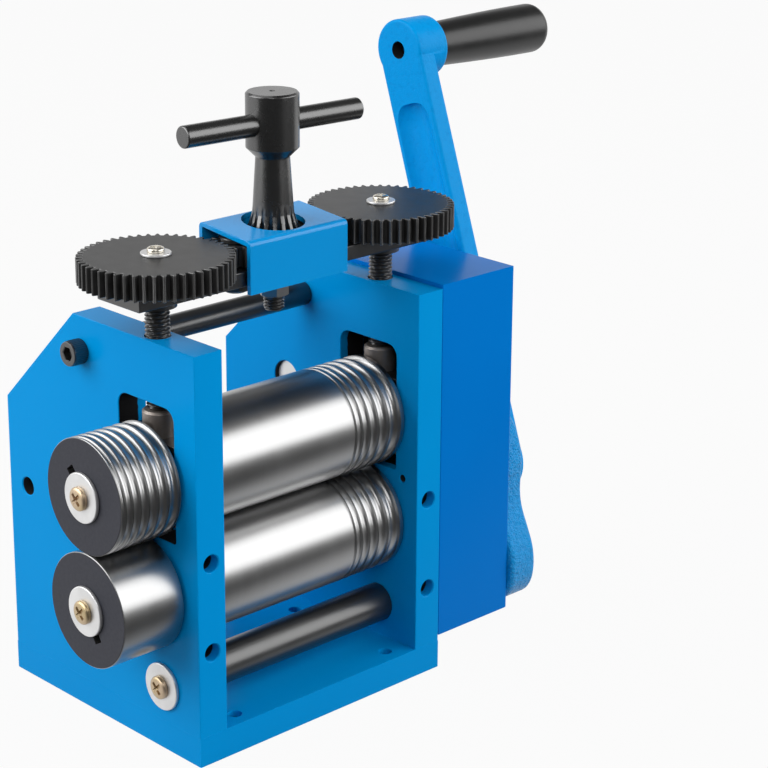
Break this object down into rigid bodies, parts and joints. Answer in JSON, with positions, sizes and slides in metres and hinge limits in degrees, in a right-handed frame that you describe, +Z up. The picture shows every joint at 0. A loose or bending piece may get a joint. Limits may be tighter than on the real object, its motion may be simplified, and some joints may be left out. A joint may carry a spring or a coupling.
{
  "type": "hand rolling mill",
  "caption": "Bench-mounted hand rolling mill with grooved and plain rolls between side plates, side rollers, a geared T-handle screw-down and a crank on a gear housing.",
  "frame": {"origin": "centre of the base plate's underside, midway between the outer faces of the two side plates and between their front and back edges", "axes": "+X along the rolls from the open side rollers to the gear housing and crank, +Y from the front edges to the back, +Z up"},
  "size_m": [0.3044, 0.1193, 0.2542],
  "materials": {
    "blue_paint": "gloss",
    "blue_casting": "gloss",
    "polished_steel": "satin",
    "plain_steel": "satin",
    "black_steel": "satin",
    "zinc_plate": "satin",
    "yellow_zinc": "satin",
    "bronze": "satin",
    "black_plastic": "satin"
  },
  "bodies": {
    "frame": {"base_plate": "blue_paint", "left_side_plate": "blue_paint", "right_side_plate": "blue_paint", "base_screw_left_front": "plain_steel", "base_screw_left_rear": "plain_steel", "base_screw_right_front": "plain_steel", "base_screw_right_rear": "plain_steel", "upper_tie_rod": "black_steel", "upper_tie_screw": "black_steel", "lower_tie_rod": "black_steel", "lower_tie_washer": "zinc_plate", "lower_tie_screw": "yellow_zinc", "left_roll_bush": "bronze", "right_roll_bush": "bronze", "left_lift_spring": "plain_steel", "right_lift_spring": "plain_steel", "gear_housing": "blue_paint", "housing_stay": "zinc_plate", "housing_stay_screw": "black_steel", "bearing_bracket": "blue_casting", "bracket_screw_front": "black_steel", "bracket_screw_rear": "black_steel"},
    "crank": {"crank_shaft": "black_steel", "crank_arm": "blue_casting", "crank_nut": "zinc_plate", "grip_bolt": "black_steel"},
    "grip": {"crank_grip": "black_plastic"},
    "layshaft_body": {"layshaft": "black_steel"},
    "lower_roll_body": {"lower_roll": "polished_steel", "lower_side_roller": "polished_steel", "lower_side_washer": "zinc_plate", "lower_side_screw": "yellow_zinc", "lower_roll_gear": "black_steel"},
    "carriage": {"left_bearing_block": "plain_steel", "right_bearing_block": "plain_steel", "left_thrust_button": "polished_steel", "right_thrust_button": "polished_steel"},
    "upper_roll_body": {"upper_roll": "polished_steel", "upper_side_roller": "polished_steel", "upper_side_washer": "zinc_plate", "upper_side_screw": "yellow_zinc", "upper_roll_gear": "black_steel"},
    "bridge": {"bridge_plate": "black_steel", "gear_cover": "blue_paint", "left_idler_pin": "plain_steel", "right_idler_pin": "plain_steel"},
    "handle": {"handle_spindle": "black_steel", "handle_cross_bar": "black_steel", "spindle_nut": "plain_steel"},
    "left_idler": {"left_idler_gear": "black_steel"},
    "right_idler": {"right_idler_gear": "black_steel"},
    "left_screw": {"left_pressure_screw": "black_steel", "left_screw_gear": "black_steel", "left_gear_washer": "zinc_plate", "left_gear_screw": "zinc_plate"},
    "right_screw": {"right_pressure_screw": "black_steel", "right_screw_gear": "black_steel", "right_gear_washer": "zinc_plate", "right_gear_screw": "zinc_plate"}
  },
  "joints": [
    {"name": "crank_turn", "type": "hinge", "parent": "frame", "child": "crank", "pos_m": [0.125, -0.0305, 0.0647], "axis": [1, 0, 0], "continuous": true},
    {"name": "grip_spin", "type": "hinge", "parent": "crank", "child": "grip", "pos_m": [0.172, 0.02544, 0.24104], "axis": [1, 0, 0], "continuous": true},
    {"name": "layshaft_turn", "type": "hinge", "parent": "frame", "child": "layshaft_body", "pos_m": [0.1, -0.03902, 0.03594], "axis": [1, 0, 0], "continuous": true},
    {"name": "lower_roll_turn", "type": "hinge", "parent": "frame", "child": "lower_roll_body", "pos_m": [0, -0.0305, 0.0647], "axis": [1, 0, 0], "continuous": true},
    {"name": "roll_lift", "type": "slide", "parent": "frame", "child": "carriage", "axis": [0, 0, 1], "range_m": [0, 0.004], "stiffness_N_per_m": 1000, "springref_m": 0.019, "deforming": ["left_lift_spring", "right_lift_spring"]},
    {"name": "upper_roll_turn", "type": "hinge", "parent": "carriage", "child": "upper_roll_body", "pos_m": [0, -0.0305, 0.1099], "axis": [1, 0, 0], "continuous": true},
    {"name": "bridge_lift", "type": "slide", "parent": "frame", "child": "bridge", "axis": [0, 0, 1], "range_m": [0, 0.004]},
    {"name": "handle_turn", "type": "hinge", "parent": "bridge", "child": "handle", "pos_m": [0, -0.0305, 0.2363], "axis": [0, 0, 1], "range_deg": [-1, 2825]},
    {"name": "left_idler_turn", "type": "hinge", "parent": "bridge", "child": "left_idler", "pos_m": [-0.01917, -0.0305, 0.189], "axis": [0, 0, 1], "range_deg": [-2825, 1]},
    {"name": "right_idler_turn", "type": "hinge", "parent": "bridge", "child": "right_idler", "pos_m": [0.01917, -0.0305, 0.189], "axis": [0, 0, 1], "range_deg": [-2825, 1]},
    {"name": "left_screw_turn", "type": "hinge", "parent": "bridge", "child": "left_screw", "pos_m": [-0.05695, -0.0305, 0.189], "axis": [0, 0, 1], "range_deg": [-1, 961]},
    {"name": "right_screw_turn", "type": "hinge", "parent": "bridge", "child": "right_screw", "pos_m": [0.05695, -0.0305, 0.189], "axis": [0, 0, 1], "range_deg": [-1, 961]}
  ],
  "couplings": [
    {"joint": "layshaft_turn", "follows": "crank_turn", "ratio": -0.81818},
    {"joint": "lower_roll_turn", "follows": "crank_turn", "ratio": 0.39394},
    {"joint": "upper_roll_turn", "follows": "crank_turn", "ratio": -0.39394},
    {"joint": "roll_lift", "follows": "bridge_lift", "ratio": 1},
    {"joint": "handle_turn", "follows": "bridge_lift", "rad_per_m": 12320},
    {"joint": "left_idler_turn", "follows": "bridge_lift", "rad_per_m": -12320},
    {"joint": "right_idler_turn", "follows": "bridge_lift", "rad_per_m": -12320},
    {"joint": "left_screw_turn", "follows": "bridge_lift", "rad_per_m": 4188.8},
    {"joint": "right_screw_turn", "follows": "bridge_lift", "rad_per_m": 4188.8}
  ]
}
